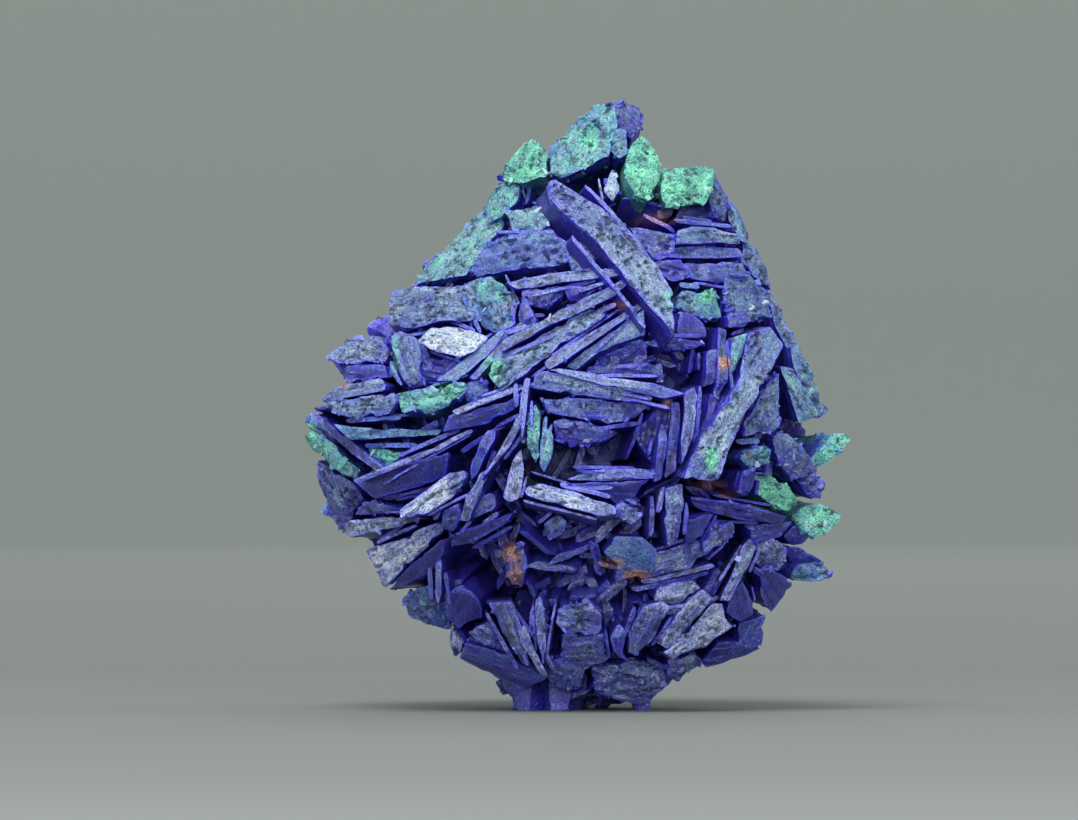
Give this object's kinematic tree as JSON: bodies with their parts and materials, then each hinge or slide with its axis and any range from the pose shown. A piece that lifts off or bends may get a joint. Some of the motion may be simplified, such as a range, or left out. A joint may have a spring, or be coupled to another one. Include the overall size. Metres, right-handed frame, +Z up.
{
  "type": "azurite mineral specimen",
  "caption": "Rounded natural cluster of deep blue tabular azurite crystals grown together, crusted green in places. It stands on its broken foot for display.",
  "frame": {"origin": "middle of the cluster's box in X and Y, at the plane it stands on", "axes": "+Z up as the specimen is displayed, -Y out of its front, +X to the right as seen from the front"},
  "size_m": [0.0274, 0.026, 0.0305],
  "materials": {
    "azurite": "satin"
  },
  "bodies": {
    "root": {"azurite_specimen": "azurite"}
  },
  "joints": []
}
